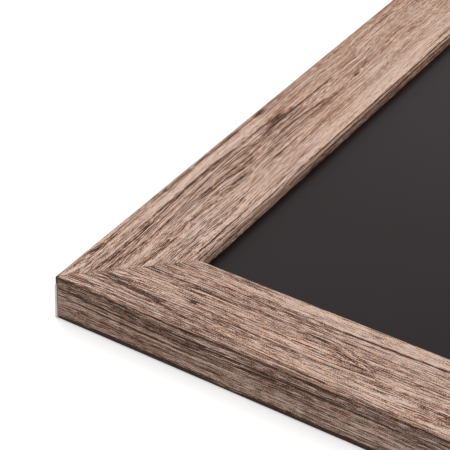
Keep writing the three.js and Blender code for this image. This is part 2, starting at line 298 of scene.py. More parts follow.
# One knot, as a group: it spreads the grain round itself and darkens at its heart.
knot_group, knot_given, _ = new_group(
    "printed knot", "ShaderNodeTree",
    {"Place": "Vector", "Centre": "Vector", "One Over Size": "Vector", "Spread": "Float", "Depth": "Float"},
    {"Tone": "Float", "Push": "Vector"})
away = add_node(knot_group, "VectorMath", {0: knot_given["Place"], 1: knot_given["Centre"]},
                operation="SUBTRACT")
scaled = add_node(knot_group, "VectorMath", {0: away, 1: knot_given["One Over Size"]}, operation="MULTIPLY")
square = add_node(knot_group, "VectorMath", {0: scaled, 1: scaled}, operation="DOT_PRODUCT")
minus = add_node(knot_group, "Math", {0: square.outputs["Value"], 1: -1.0}, operation="MULTIPLY")
near = add_node(knot_group, "Math", {0: minus}, operation="EXPONENT")
pull = add_node(knot_group, "Math", {0: near, 1: knot_given["Spread"]}, operation="MULTIPLY")
push = add_node(knot_group, "VectorMath", {0: away, "Scale": pull}, operation="SCALE")
heart = add_node(knot_group, "Math", {0: near, 1: 3.0}, operation="POWER")
heart_tone = add_node(knot_group, "Math", {0: heart, 1: knot_given["Depth"]}, operation="MULTIPLY")
add_node(knot_group, "NodeGroupOutput", {"Tone": heart_tone, "Push": push})

# Knots of the print: place on the roll (along, across), half sizes, how far they spread the grain, and depth.
KNOTS = [
    (51.5, 35.4, 3.4, 1.5, 0.5, -1.75),
    (49, 40.5, 10, 3.5, 0.5, -0.16),
    (113, 38.5, 13, 4.5, 0.25, -0.05),
    (118, 28.5, 52, 5.5, 0.15, 0.1),
    (32, 34, 16, 4, 0.4, 0.16),
    (1096, 42, 44, 9, 0.2, 0),
    (1099, 42.5, 7, 2.2, 0.4, -0.35),
    (1149, 22.5, 6.5, 2.4, 0.3, -0.6),
    (1149, 31, 13, 3.6, 0.4, -0.6),
    (1205, 40.5, 4, 1.8, 0.5, -0.55),
    (300, 38, 6, 2.5, 0.6, -0.45),
    (452, 30, 5, 2, 0.5, -0.5),
    (2140, 44, 6, 2.4, 0.6, -0.5),
    (2322, 33, 9, 3.5, 0.6, -0.25),
    (3110, 36, 5, 2, 0.5, -0.5),
    (3420, 46, 8, 3, 0.6, -0.3),
]

# Grain lines of the print: start and end along the roll, the level at four even steps, half width and depth.
# The thin pale ones are partly the print's pale streaks and partly painted highlights along the embossed
# grain.
GRAIN_LINES = [
    # bottom rail, face
    (9, 80, (31.6, 29.6, 26.3, 23.2), 2.47, -0.39),
    (14, 60, (30.6, 28.9, 27.4, 24.8), 0.91, -0.44),
    (58, 118, (24.6, 24, 23, 22), 1.17, -0.48),
    (6, 34, (23.2, 23, 22.5, 22), 0.65, -0.32),
    (58, 104, (31.7, 31.9, 31.8, 32), 0.78, -0.52),
    (60, 122, (35.6, 35.8, 35.5, 33), 0.65, -0.4),
    (28, 110, (43, 43.3, 43.6, 43), 0.78, -0.52),
    (24, 92, (45.6, 44.6, 44.8, 44.6), 0.91, -0.36),
    (26, 98, (48.8, 49.6, 50.9, 51.3), 0.91, -0.4),
    (98, 190, (50.9, 52, 52.6, 52), 0.65, -1.65),
    (98, 180, (52, 53.3, 53.9, 53.2), 0.54, 0.56),
    (74, 150, (28, 27.4, 27, 27.5), 4.5, 0.27),
    (36, 140, (40.5, 41.5, 41, 39), 9.75, -0.14),
    (20, 46, (24.6, 24.4, 24.2, 23.2), 0.41, 0.6),
    (16, 38, (29.6, 28.6, 28.2, 27.9), 0.36, 0.68),
    (44, 96, (42.2, 42.3, 42.3, 42.4), 0.41, 0.52),
    (52, 100, (34.8, 35.2, 35.4, 34.2), 0.45, 0.44),
    (56, 76, (56.4, 56.2, 56, 56.2), 0.78, -0.4),
    (94, 126, (43.6, 42.2, 39, 34.6), 0.65, -0.52),
    (98, 128, (45.4, 44.2, 41.6, 37.4), 0.52, -0.44),
    (102, 126, (41.6, 39.6, 37, 33.4), 0.45, -0.44),
    (100, 126, (44.4, 43, 40.2, 36), 0.36, 0.4),
    (20, 100, (60, 60.2, 60, 60.2), 1.17, -0.32),
    (36, 230, (53.6, 53.6, 53.8, 54), 5.58, 0.27),
    # bottom rail, outer side, downwards from the arris
    (-30, 78, (19, 18.3, 16.6, 15), 1.3, -0.36),
    (-30, 60, (16.4, 16.4, 16.2, 16), 2.1, -0.22),
    (60, 150, (15.1, 14.9, 14.6, 14.3), 0.45, -0.52),
    (70, 124, (13, 13, 14.2, 14), 0.65, -0.4),
    (-12, 66, (15.8, 13.8, 12.7, 12.6), 0.55, -0.8),
    (78, 112, (12.8, 12.8, 12.9, 13), 0.4, -0.48),
    (74, 96, (11.8, 12.1, 12.1, 12), 0.36, 0.44),
    (96, 150, (11.4, 11.2, 11.2, 11), 0.4, 0.44),
    (-12, 78, (12, 10.6, 9.9, 9.9), 0.45, -0.8),
    (96, 150, (9.6, 9.2, 8.4, 7.6), 0.4, -0.56),
    (60, 84, (9.4, 9, 9, 9.2), 0.4, 0.48),
    (38, 60, (9.2, 9, 9, 9), 0.36, 0.4),
    (-16, 210, (8.8, 8.7, 8.6, 8.4), 2.2, 0.26),
    (52, 92, (8.2, 8, 7.2, 6.6), 1.6, 0.18),
    (10, 52, (7.2, 6.9, 6.4, 6.2), 0.4, -0.5),
    (64, 96, (5.6, 5.9, 6.5, 6.6), 0.36, -0.44),
    (104, 150, (5.9, 5.6, 5, 4.8), 0.4, -0.56),
    (8, 40, (2.4, 2.2, 2, 1.9), 0.36, -0.44),
    (78, 98, (1.6, 1.9, 2.1, 2), 0.36, 0.6),
    # left stile, face
    (1008, 1056, (29.8, 30.4, 30.2, 29), 1.04, -0.48),
    (1008, 1112, (29.6, 30.8, 28.4, 28.2), 0.59, -0.68),
    (1056, 1160, (28.6, 28.2, 28.8, 30), 0.78, -0.56),
    (1010, 1132, (31.8, 35.2, 31.6, 33), 0.52, -0.83),
    (1128, 1200, (33.4, 32.4, 32.8, 32.4), 1.04, -0.56),
    (1018, 1062, (22.6, 23.4, 23.6, 22.6), 0.65, -0.44),
    (1060, 1134, (22.8, 22, 22.2, 22.6), 1.04, -0.52),
    (1024, 1046, (42.2, 42.8, 43, 42.6), 1.17, -0.44),
    (1048, 1106, (41.8, 42.6, 42.8, 42), 1.3, -0.36),
    (1072, 1140, (37, 36.2, 36.4, 36.8), 1.3, -0.36),
    (1130, 1180, (38.6, 37.8, 39, 40), 0.91, -0.56),
    (1062, 1100, (41, 39.6, 38.8, 38.8), 0.41, 0.68),
    (1018, 1040, (29, 28.8, 28.9, 29.2), 0.36, 0.68),
    (1060, 1098, (31.4, 30.6, 30.6, 30.8), 0.36, 0.52),
    # a painted highlight: a bright glint along the embossed grain near the corner
    (1002, 1014, (22.2, 23.2, 24.2, 24.6), 0.81, 0.9),
    (1006, 1030, (26.4, 26.6, 26.4, 26.8), 0.32, 0.6),
    (1014, 1040, (30.6, 30.9, 30.6, 30.8), 0.32, 0.6),
    (1038, 1124, (56.6, 56.3, 56.6, 57.2), 0.59, -0.68),
    (1040, 1090, (55.8, 55.6, 55.7, 56), 0.36, 0.48),
    (1130, 1230, (54.8, 55, 55.6, 56), 2.7, 0.11),
    (1018, 1156, (24.4, 24.6, 24.8, 24.6), 5.04, 0.3),
    (998, 1180, (35.6, 36, 36, 35.8), 5.46, -0.2),
    (1016, 1126, (38.4, 38.6, 38.6, 38.4), 3.9, -0.17),
    (1048, 1118, (26, 25.8, 25.8, 26), 2.34, 0.27),
    (1028, 1290, (53.2, 53.4, 53.4, 53.4), 5.94, 0.27),
    (1000, 1420, (59.4, 59.3, 59.5, 59.4), 0.65, -0.83),
    (1020, 1400, (61.9, 61.6, 61.8, 61.8), 0.45, -0.8),
    (1000, 1400, (60.7, 60.8, 60.6, 60.7), 0.45, 0.2),
]

# Straight lines and bands of the print, and some of painted shade: start and end along the roll, level, half
# width and depth.
STRAIGHT_BANDS = [
    # bottom rail, face
    (-60, 560, 24, 2.7, 0.15),
    (0, 68, 22.3, 2.6, -0.24),
    (48, 100, 30.2, 2.4, -0.14),
    (20, 60, 38, 2, -0.15),
    (-20, 48, 30, 2.86, -0.2),
    (-4, 38, 53, 5.2, -0.12),
    (64, 260, 58.2, 2.7, 0.41),
    (42, 80, 50.2, 1.8, 0.14),
    (72, 100, 27.6, 3.38, -0.09),
    (20, 58, 24.4, 3.64, -0.14),
    (38, 74, 38.2, 2.08, -0.12),
    # bottom rail, outer side, downwards from the arris
    # the first band is partly the print's dark band under the arris and partly painted shade, which takes
    # back the light that the rounded arris catches
    (-40, 230, 19.2, 1.6, -0.5),
    (-30, 86, 5.6, 2.6, -0.1),
    (62, 230, 16.2, 2, -0.1),
    (-24, 74, 14.4, 3, -0.3),
    (8, 58, 11.3, 1.2, 0.12),
    (66, 200, 6, 1.8, 0.15),
    (80, 104, 6.6, 1.2, 0.1),
    (92, 110, 5, 0.36, 0.44),
    (-30, 58, 4, 2.3, -0.12),
    (46, 76, 3.8, 1.4, 0.12),
    # the last two darken the side towards its bottom edge; the lowest is a painted contact shadow where the
    # rail sits on the floor
    (-40, 230, 1.2, 2.2, -0.85),
    (-60, 640, 0.4, 1.3, -1.3),
    # left stile, face
    # the first band, as wide as the face, makes the left stile's face paler as a whole
    (940, 1460, 38, 36, 0.12),
    (1094, 1196, 42.2, 2.6, -0.28),
    (1012, 1072, 42.2, 2.6, -0.25),
    (1030, 1070, 30, 2, 0.14),
    (1110, 1166, 34, 3.9, -0.18),
    (1114, 1172, 21.8, 2.86, -0.15),
    (1062, 1116, 54.2, 2.16, 0.18),
    (1060, 1310, 58, 1.98, 0.3),
    # painted shade: the last two bands darken the lip's lower part, down where it meets the writing panel
    (980, 1420, 64.6, 1.56, -0.3),
    (980, 1420, 62, 2.86, -0.15),
]

# Layers of the print and the embossing: length and width of their marks, detail of the noise, and contrast.
# The pores layer's light side is painted glints off the embossing, and its dark side the pores. The pores of
# such a foil are some 0.2 mm wide, and are drawn half as wide again or more, so that they show.
LAYERS = [
    ("growth bands", 240, 6.0, 1.0, 0.46),
    ("fine streaks", 60, 0.60, 1.0, 0.46),
    ("hairs", 36, 0.36, 1.0, 0.80),
    ("pores and flecks", 4, 0.32, 1.0, 0.80),
    ("paper tooth", 0.45, 0.4, 0.0, 0.65),
]

# Sharp strokes over them: length and width again, the noise level where a stroke starts, and its depth. These
# are drawn coarser than real too. The pale hairs and flecks are painted highlights and glints off the grain.
STROKES = [
    ("dark streaks", 90, 1.30, 0.58, -0.14),
    ("dark hairs", 44, 0.46, 0.57, -0.46),
    ("dark pores", 9, 0.46, 0.59, -0.36),
    ("pale hairs", 30, 0.42, 0.58, 0.46),
    ("pale flecks", 6, 0.42, 0.59, 0.62),
]
STROKE_SOFTNESS = 0.06
STROKE_DETAIL = 1.0
MARK_ROUGHNESS = 0.55
WANDER = 2.2
RIPPLE = 0.35
RING_DEPTH = -0.22
RING_HALF_WIDTH = 0.03
BASE_TONE = 0.62
ARRIS = 20.0
FACE_MIDDLE = 40.0
WORN_FROM_MIDDLE = 19.9

roll_map = add_node(foil_tree, "UVMap", uv_map="foil")
place = add_node(foil_tree, "VectorMath", {0: roll_map, "Scale": 1 / MM}, operation="SCALE")
spot = add_node(foil_tree, "SeparateXYZ", {0: place})
along_roll, across_roll = spot.outputs["X"], spot.outputs["Y"]


def print_noise(start_place, length, width, detail, roughness=0.5):
    """A noise over the roll, whose marks have a length along it and a width across it."""
    stretched = add_node(foil_tree, "VectorMath", {0: start_place, 1: (1 / length, 1 / width, 0)},
                         operation="MULTIPLY")
    return add_node(foil_tree, "TexNoise", {
        "Vector": stretched, "Scale": 1.0, "Detail": detail, "Roughness": roughness}, noise_dimensions="2D")


def printed_line(across, start, end, levels, half_width, depth):
    """A grain line, as a cubic through its levels at the start, one third, two thirds and the end."""
    a, b, c, d = levels
    return add_node(foil_tree, "Group", {
        "Along": along_roll, "Across": across, "Start": start, "End": end, "Level": a,
        "Rise": (-11 * a + 18 * b - 9 * c + 2 * d) / 2, "Bow": (18 * a - 45 * b + 36 * c - 9 * d) / 2,
        "Swing": (-9 * a + 27 * b - 27 * c + 9 * d) / 2, "Half Width": half_width, "Depth": depth},
        node_tree=line_group)


# The grain wanders by a few millimetres over a hand's length, and ripples by a fraction of one.
wander = print_noise(place, 75, 16, 1.0)
ripple = print_noise(place, 15, 5, 1.0)
wander_by = add_node(foil_tree, "MapRange", {"Value": wander, "To Min": -WANDER, "To Max": WANDER})
ripple_by = add_node(foil_tree, "MapRange", {"Value": ripple, "To Min": -RIPPLE, "To Max": RIPPLE})

pushed = place
knot_tone = 0.0
for along, across, half_long, half_high, spread, depth in KNOTS:
    knot = add_node(foil_tree, "Group", {
        "Place": place, "Centre": (along, across, 0), "One Over Size": (1 / half_long, 1 / half_high, 0),
        "Spread": spread, "Depth": depth}, node_tree=knot_group)
    pushed = add_node(foil_tree, "VectorMath", {0: pushed, 1: knot.outputs["Push"]}, operation="SUBTRACT")
    knot_tone = add_node(foil_tree, "Math", {0: knot_tone, 1: knot.outputs["Tone"]}, operation="ADD")

rippled = add_node(foil_tree, "Math", {0: across_roll, 1: ripple_by}, operation="ADD")
bend_by = add_node(foil_tree, "Math", {0: wander_by, 1: ripple_by}, operation="ADD")
bent = add_node(foil_tree, "CombineXYZ", {"Y": bend_by})
grain_place = add_node(foil_tree, "VectorMath", {0: pushed, 1: bent}, operation="ADD")

straight_lines = [(start, end, [level] * 4, half_width, depth)
                  for start, end, level, half_width, depth in STRAIGHT_BANDS]
line_tone = knot_tone
for row in GRAIN_LINES + straight_lines:
    line = printed_line(rippled, *row)
    line_tone = add_node(foil_tree, "Math", {0: line_tone, 1: line}, operation="ADD")

# The left stile's stretch of the print grows quiet away from the photographed corner: a line as wide as the
# roll, which takes up to half of the layers' strength away.
quiet = printed_line(across_roll, 1080, 1900, [FACE_MIDDLE] * 4, 400, -0.5)
layer_strength = add_node(foil_tree, "Math", {0: quiet, 1: 1.0}, operation="ADD")

# Painted shading: where the print wraps over the outer side, its fine marks are weaker and its colour greyer,
# standing in for the dim, glancing light that falls on that side.
side_light_contrast, side_light_saturation = (add_node(foil_tree, "MapRange", {
    "Value": across_roll, "From Min": ARRIS - 1, "From Max": ARRIS + 1, "To Min": outer_share})
    for outer_share in (0.66, 0.9))

marks = [(name, mark_length, mark_width, detail, (0.0, 1.0, -contrast, contrast))
         for name, mark_length, mark_width, detail, contrast in LAYERS]
marks += [(name, mark_length, mark_width, STROKE_DETAIL, (start, start + STROKE_SOFTNESS, 0.0, depth))
          for name, mark_length, mark_width, start, depth in STROKES]
layers = {}
layer_tone = 0.0
for name, mark_length, mark_width, detail, (from_low, from_high, to_low, to_high) in marks:
    layers[name] = print_noise(grain_place, mark_length, mark_width, detail, MARK_ROUGHNESS)
    layers[name].label = name
    level = add_node(foil_tree, "MapRange", {
        "Value": layers[name], "From Min": from_low, "From Max": from_high,
        "To Min": to_low, "To Max": to_high})
    # fine marks are weakened on the outer side, as painted shading
    if mark_width < 1:
        level = add_node(foil_tree, "Math", {0: level, 1: side_light_contrast}, operation="MULTIPLY")
    layer_tone = add_node(foil_tree, "Math", {0: layer_tone, 1: level}, operation="ADD")
print_tone = add_node(foil_tree, "Math", {0: layer_tone, 1: layer_strength, 2: line_tone},
                      operation="MULTIPLY_ADD")

# Long thin contour lines of a slow noise draw the wavy edges of the growth rings.
rings = print_noise(grain_place, 90, 3.2, 1.0)
ring_line = add_node(foil_tree, "MapRange", {
    "Value": distance_apart(foil_tree, rings, 0.5), "From Min": 0.0, "From Max": RING_HALF_WIDTH,
    "To Min": RING_DEPTH, "To Max": 0.0}, interpolation_type="SMOOTHSTEP")
foil_tone = add_node(foil_tree, "Math", {0: print_tone, 1: ring_line}, operation="ADD")
foil_level = add_node(foil_tree, "Math", {0: foil_tone, 1: BASE_TONE}, operation="ADD")

# Printed colours, from the pore's dark to the paper's light.
ramp = add_node(foil_tree, "ValToRGB", {"Fac": foil_level})
stops = [(0.0, "#3b261d"), (0.2, "#6a4a3b"), (0.4, "#946f5d"), (0.55, "#b08b76"), (0.75, "#ceaa92"),
         (1.0, "#f0d4c3")]
while len(ramp.color_ramp.elements) < len(stops):
    ramp.color_ramp.elements.new(0.5)
for element, (position, colour) in zip(ramp.color_ramp.elements, stops):
    element.position = position
    element.color = linear(colour)

# The print's tint drifts between a warm tan and a smoky grey, over a hand's width and again from speck to
# speck, and all of it leans a little from orange to red.
slow_noise = print_noise(grain_place, 60, 4, 2.0)
quick_noise = print_noise(grain_place, 3, 0.35, 1.0)
slow_tint, quick_tint = (add_node(foil_tree, "MapRange", {
    "Value": noise, "From Min": 0.3, "From Max": 0.7, "To Min": warm, "To Max": grey})
    for noise, warm, grey in ((slow_noise, 1.11, 0.97), (quick_noise, 0.3, -0.3)))
tint = add_node(foil_tree, "Math", {0: slow_tint, 1: quick_tint}, operation="ADD")
# the colour is greyed on the outer side, as painted shading
saturation = add_node(foil_tree, "Math", {0: tint, 1: side_light_saturation}, operation="MULTIPLY")
tinted = add_node(foil_tree, "HueSaturation", {"Color": ramp, "Hue": 0.4975, "Saturation": saturation})

# Rubbed arrises and cut mitre edges, where the print has gone from the paper: a thin tan line, in places.
from_face_middle = distance_apart(foil_tree, across_roll, FACE_MIDDLE)
from_wear = distance_apart(foil_tree, from_face_middle, WORN_FROM_MIDDLE)
worn_arris = add_node(foil_tree, "MapRange", {
    "Value": from_wear, "From Min": 0.4, "From Max": 0.05}, interpolation_type="SMOOTHSTEP")
mitre_map = add_node(foil_tree, "UVMap", uv_map="mitres")
mitre_spot = add_node(foil_tree, "SeparateXYZ", {0: mitre_map})
to_mitre = add_node(foil_tree, "Math", {0: mitre_spot.outputs["X"], 1: mitre_spot.outputs["Y"]},
                    operation="MINIMUM")
cut_edge = add_node(foil_tree, "MapRange", {
    "Value": to_mitre, "From Min": 0.9 * MM, "From Max": 0.3 * MM}, interpolation_type="SMOOTHSTEP")
near_corner = add_node(foil_tree, "MapRange", {
    "Value": across_roll, "From Min": 36.0, "From Max": 26.0, "To Min": 0.25})
worn_mitre = add_node(foil_tree, "Math", {0: cut_edge, 1: near_corner}, operation="MULTIPLY")
worn_edge = add_node(foil_tree, "Math", {0: worn_arris, 1: worn_mitre}, operation="MAXIMUM")
patches = print_noise(place, 14, 14, 3.0)
patch_level = add_node(foil_tree, "MapRange", {
    "Value": patches, "From Min": 0.35, "From Max": 0.65, "To Min": 0.15, "To Max": 0.75})
worn = add_node(foil_tree, "Math", {0: worn_edge, 1: patch_level}, operation="MULTIPLY")
printed = add_node(foil_tree, "Mix", {"Factor": worn, "A": tinted, "B": linear("#dcb398")},
                   data_type="RGBA")

# The seam of a mitre is painted a little darker: painted shade in the hairline between the two lengths.
seam_shade = add_node(foil_tree, "MapRange", {
    "Value": to_mitre, "From Min": 0.1 * MM, "From Max": 0.35 * MM, "To Min": 0.45, "To Max": 1.0},
    interpolation_type="SMOOTHSTEP")
foil_colour = add_node(foil_tree, "HueSaturation", {"Color": printed, "Value": seam_shade})
surface(foil_tree, foil_colour, 0.55, layers["pores and flecks"], 0.35, 0.08 * MM,
        {"Specular IOR Level": 0.15})

# Sawn fibreboard core: pale, dry and even, with short fibres pressed flat, which are drawn coarser than real
# so that they show. On the cut ends, the saw has dragged some of the foil's brown over the topmost part.
core_finish, core_tree = new_finish("fibreboard core, sawn")
core_place = add_node(core_tree, "TexCoord").outputs["Object"]
core_fibre = add_node(core_tree, "TexNoise", {
    "Vector": core_place, "Scale": 1 / (0.9 * MM), "Detail": 3.0, "Roughness": 0.6})
core_mottle = add_node(core_tree, "TexNoise", {"Vector": core_place, "Scale": 1 / (14 * MM), "Detail": 2.0})
core_blend = add_node(core_tree, "Math", {0: core_mottle, 1: 0.5, 2: core_fibre}, operation="MULTIPLY_ADD")
raw_colour = shaded(core_tree, core_blend, 0.5, 1.0, "#e6e1d8", "#f5f2ec")
core_height = add_node(core_tree, "SeparateXYZ", {0: core_place}).outputs["Z"]
dragged = add_node(core_tree, "MapRange", {
    "Value": core_height, "From Min": TIP_WEAR_FROM, "From Max": TIP_WEAR_FROM + 1 * MM},
    interpolation_type="SMOOTHSTEP")
core_colour = add_node(core_tree, "Mix", {
    "Factor": dragged, "A": raw_colour, "B": linear("#7d6455")}, data_type="RGBA")
surface(core_tree, core_colour, 0.9, core_fibre, 0.4, 0.1 * MM, {"Specular IOR Level": 0.2})

# Each length is cut for its pockets and smoothed round its arcs. The core's faces are flat, and smoothing
# them with the foil's would shade them falsely.
for piece in mouldings:
    piece.data.materials.append(foil_finish)
    piece.data.materials.append(core_finish)
    cut = piece.modifiers.new("pockets", "BOOLEAN")
    cut.object = pocket_cutter
    cut.operation = "DIFFERENCE"
    cut.solver = "EXACT"
    apply_modifiers(piece)
    piece.data.shade_smooth()
    piece.data.set_sharp_from_angle(angle=math.radians(20))
    for polygon in piece.data.polygons:
        polygon.use_smooth = polygon.material_index == 0
    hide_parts(piece.name.removeprefix("moulding_"))
    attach(piece, "board")
bpy.data.objects.remove(pocket_cutter)

# Writing panel. A 3 mm fibreboard sheet, sprayed with a satin black chalk lacquer: near black where it is
# clean, with a soft sheen at a low angle and the slight tooth that takes the chalk. It is dropped into the
# rebate from behind.


def finish_node(node_name, finish):
    """Gives a CAD node that is shown as it is the finish of its real piece."""
    for material_slot in frame["nodes"][node_name].material_slots:
        material_slot.material = finish


lacquer, tree = new_finish("chalk lacquer, sprayed satin black")
lacquer_place = add_node(tree, "TexCoord").outputs["Object"]
haze = add_node(tree, "TexNoise", {"Vector": lacquer_place, "Scale": 1 / (90 * MM), "Detail": 3.0})
lacquer_colour = shaded(tree, haze, 0.35, 0.7, "#180e10", "#1b1113")
tooth = add_node(tree, "TexNoise", {"Vector": lacquer_place, "Scale": 1 / (0.5 * MM), "Detail": 2.0})
surface(tree, lacquer_colour, 0.35, tooth, 0.12, 0.03 * MM, {"Specular IOR Level": 0.155})
finish_node("writing_panel", lacquer)

# Filler sheet. Single-wall corrugated card between the writing panel and the backing board: brown kraft
# liners over 4 mm flutes, whose ridges show faintly. The liner's fibres are drawn half a millimetre wide, far
# coarser than real, so that they show.

FLUTE_PITCH = 4 * MM
WAVES_PER_SCALE = 20 / (2 * math.pi)  # bands per metre of a wave texture with a scale of 1

card, tree = new_finish("corrugated kraft card")
card_place = add_node(tree, "TexCoord").outputs["Object"]
flutes = add_node(tree, "TexWave", {
    "Vector": card_place, "Scale": 1 / FLUTE_PITCH / WAVES_PER_SCALE},
    wave_type="BANDS", bands_direction="X", wave_profile="SIN")
kraft_place = add_node(tree, "VectorMath", {
    0: card_place, 1: (1 / (3 * MM), 1 / (0.5 * MM), 1 / (0.5 * MM))}, operation="MULTIPLY")
kraft_fibre = add_node(tree, "TexNoise", {"Vector": kraft_place, "Scale": 1.0, "Detail": 3.0})
card_shade = add_node(tree, "Math", {0: flutes, 1: 0.25, 2: kraft_fibre}, operation="MULTIPLY_ADD")
kraft = shaded(tree, card_shade, 0.35, 0.95, "#9c7a50", "#bd9a6e")
surface(tree, kraft, 0.95, card_shade, 0.5, 0.15 * MM, {"Specular IOR Level": 0.2})
finish_node("filler_sheet", card)

# Backing board. Hardboard, its smooth pressed face outwards: brown, with pale and dark fibre flecks, a slow
# mottle from the press, and a few scuffs from handling. It closes the back, and the points hold it in.

hardboard, tree = new_finish("hardboard, smooth pressed face")
hardboard_place = add_node(tree, "TexCoord").outputs["Object"]
press_mottle = add_node(tree, "TexNoise", {
    "Vector": hardboard_place, "Scale": 1 / (25 * MM), "Detail": 4.0, "Roughness": 0.6})
flecks = add_node(tree, "TexNoise", {
    "Vector": hardboard_place, "Scale": 1 / (1.6 * MM), "Detail": 3.0, "Roughness": 0.7, "Distortion": 1.5})
board_shade = add_node(tree, "Math", {0: press_mottle, 1: 0.8, 2: flecks}, operation="MULTIPLY_ADD")
brown = shaded(tree, board_shade, 0.65, 1.15, "#6f4a2c", "#a5784c")
scuff_place = add_node(tree, "Mapping", {
    "Vector": hardboard_place, "Rotation": (0, 0, 0.5), "Scale": (1 / (60 * MM), 1 / (1.5 * MM), 1.0)})
scuffs = add_node(tree, "TexNoise", {"Vector": scuff_place, "Scale": 1.0, "Detail": 2.0})
scuff_level = add_node(tree, "MapRange", {
    "Value": scuffs, "From Min": 0.66, "From Max": 0.74, "To Max": 0.45})
scuffed = add_node(tree, "Mix", {
    "Factor": scuff_level, "A": brown, "B": linear("#c09a70")}, data_type="RGBA")
surface(tree, scuffed, 0.6, flecks, 0.25, 0.05 * MM, {"Specular IOR Level": 0.35})
finish_node("backing_board", hardboard)

# V-nails and flexible points. Both are stamped from zinc-plated strip: the V-nails are pressed in across each
# mitre, and the points are fired into the rebate wall, their free ends bent clear of the backing board.

POINT_WIDTH = 6 * MM
POINT_THICKNESS = 0.5 * MM
POINT_DRIVEN = 6.5 * MM
POINT_FREE = 8.5 * MM
POINT_TAPER = 2.5 * MM
POINT_TIP = 2 * MM
POINT_LIP = 3 * MM
POINT_LIP_DROP = 0.75 * MM
POINT_BEND_BEFORE = 0.4 * MM
POINT_BEND_AFTER = 0.2 * MM
POINT_BEND_DROP = 0.06 * MM
POINT_EDGE = 0.1 * MM

# Zinc plate: a clouded pale grey metal with a soft gloss, and fine rubs from the strip's feed.
zinc, tree = new_finish("bright zinc plate on stamped steel")
zinc_place = add_node(tree, "TexCoord").outputs["Object"]
cloud = add_node(tree, "TexNoise", {"Vector": zinc_place, "Scale": 1 / (3 * MM), "Detail": 3.0})
rub_place = add_node(tree, "VectorMath", {
    0: zinc_place, 1: (1 / (2.5 * MM), 1 / (0.15 * MM), 1 / (0.15 * MM))}, operation="MULTIPLY")
rub = add_node(tree, "TexNoise", {"Vector": rub_place, "Scale": 1.0, "Detail": 2.0})
zinc_colour = shaded(tree, cloud, 0.3, 0.7, "#a9adb2", "#cdd0d3")
zinc_gloss = add_node(tree, "MapRange", {
    "Value": cloud, "From Min": 0.3, "From Max": 0.7, "To Min": 0.26, "To Max": 0.42})
surface(tree, zinc_colour, zinc_gloss, rub, 0.2, 0.01 * MM, {"Metallic": 1.0})
for node_name in frame["nodes"]:
    if "_v_nail_" in node_name:
        finish_node(node_name, zinc)


def pressed_strip(name, rows, thickness, edge):
    """A strip from rows of (along, up, half width), given a thickness and a small round on its edges."""
    steps = (-1, -0.5, 0, 0.5, 1)
    count = len(steps)
    vertices = [(half * step, along, up) for along, up, half in rows for step in steps]
    faces = [(i * count + k, i * count + k + 1, (i + 1) * count + k + 1, (i + 1) * count + k)
             for i in range(len(rows) - 1) for k in range(count - 1)]
    data = bpy.data.meshes.new(name)
    data.from_pydata(vertices, [], faces)
    data.shade_smooth()
    strip = put_in_scene(name, data)
    solid = strip.modifiers.new("thickness", "SOLIDIFY")
    solid.thickness = thickness
    solid.offset = 0
    solid.use_even_offset = True
    rounding = strip.modifiers.new("rounding", "BEVEL")
    rounding.width = edge
    rounding.segments = 2
    rounding.limit_method = "ANGLE"
    rounding.angle_limit = math.radians(50)
    return strip


# Sets a pattern piece out at the points of a mesh, each turned about Z by its "turn", and gives it a finish.
setting_out, setting_given, setting_inputs = new_group(
    "fasteners set out", "GeometryNodeTree",
    {"Geometry": "Geometry", "Pattern": "Object", "Size": "Float", "Finish": "Material"},
    {"Geometry": "Geometry"})
pattern_shape = add_node(setting_out, "GeometryNodeObjectInfo", {"Object": setting_given["Pattern"]})
turn_of = add_node(setting_out, "GeometryNodeInputNamedAttribute", {"Name": "turn"}, data_type="FLOAT")
rotation = add_node(setting_out, "CombineXYZ", {"Z": turn_of})
placed = add_node(setting_out, "GeometryNodeInstanceOnPoints", {
    "Points": setting_given["Geometry"], "Instance": pattern_shape.outputs["Geometry"],
    "Rotation": rotation, "Scale": setting_given["Size"]})
realized = add_node(setting_out, "GeometryNodeRealizeInstances", {"Geometry": placed})
finished = add_node(setting_out, "GeometryNodeSetMaterial", {
    "Geometry": realized, "Material": setting_given["Finish"]})
add_node(setting_out, "NodeGroupOutput", {"Geometry": finished})


def set_out(name, pattern, places, finish):
    """One mesh of the pattern at each (place, turn), with the pattern piece taken away."""
    positions, turns = zip(*places)
    data = bpy.data.meshes.new(name)
    data.from_pydata(positions, [], [])
    data.attributes.new("turn", "FLOAT", "POINT").data.foreach_set("value", turns)
    group = put_in_scene(name, data)
    modifier = group.modifiers.new("setting out", "NODES")
    modifier.node_group = setting_out
    modifier[setting_inputs["Pattern"]] = pattern
    modifier[setting_inputs["Size"]] = 1.0
    modifier[setting_inputs["Finish"]] = finish
    apply_modifiers(group)
    bpy.data.objects.remove(pattern)
    return group


half_point = POINT_WIDTH / 2
lip_start = POINT_FREE - POINT_LIP
point_level = -POINT_THICKNESS / 2
point_rows = [
    (-POINT_DRIVEN, point_level, POINT_TIP / 2),
    (POINT_TAPER - POINT_DRIVEN, point_level, half_point),
    (0, point_level, half_point),
    (lip_start - POINT_BEND_BEFORE, point_level, half_point),
    (lip_start + POINT_BEND_AFTER, point_level - POINT_BEND_DROP, half_point),
]
for angle in np.radians(np.linspace(12, 84, 7)):
    reach = half_point * math.sin(angle)
    point_rows.append((lip_start + reach, point_level - POINT_LIP_DROP * reach / POINT_LIP,
                       half_point * math.cos(angle)))
point_pattern = pressed_strip("point_pattern", point_rows, POINT_THICKNESS, POINT_EDGE)

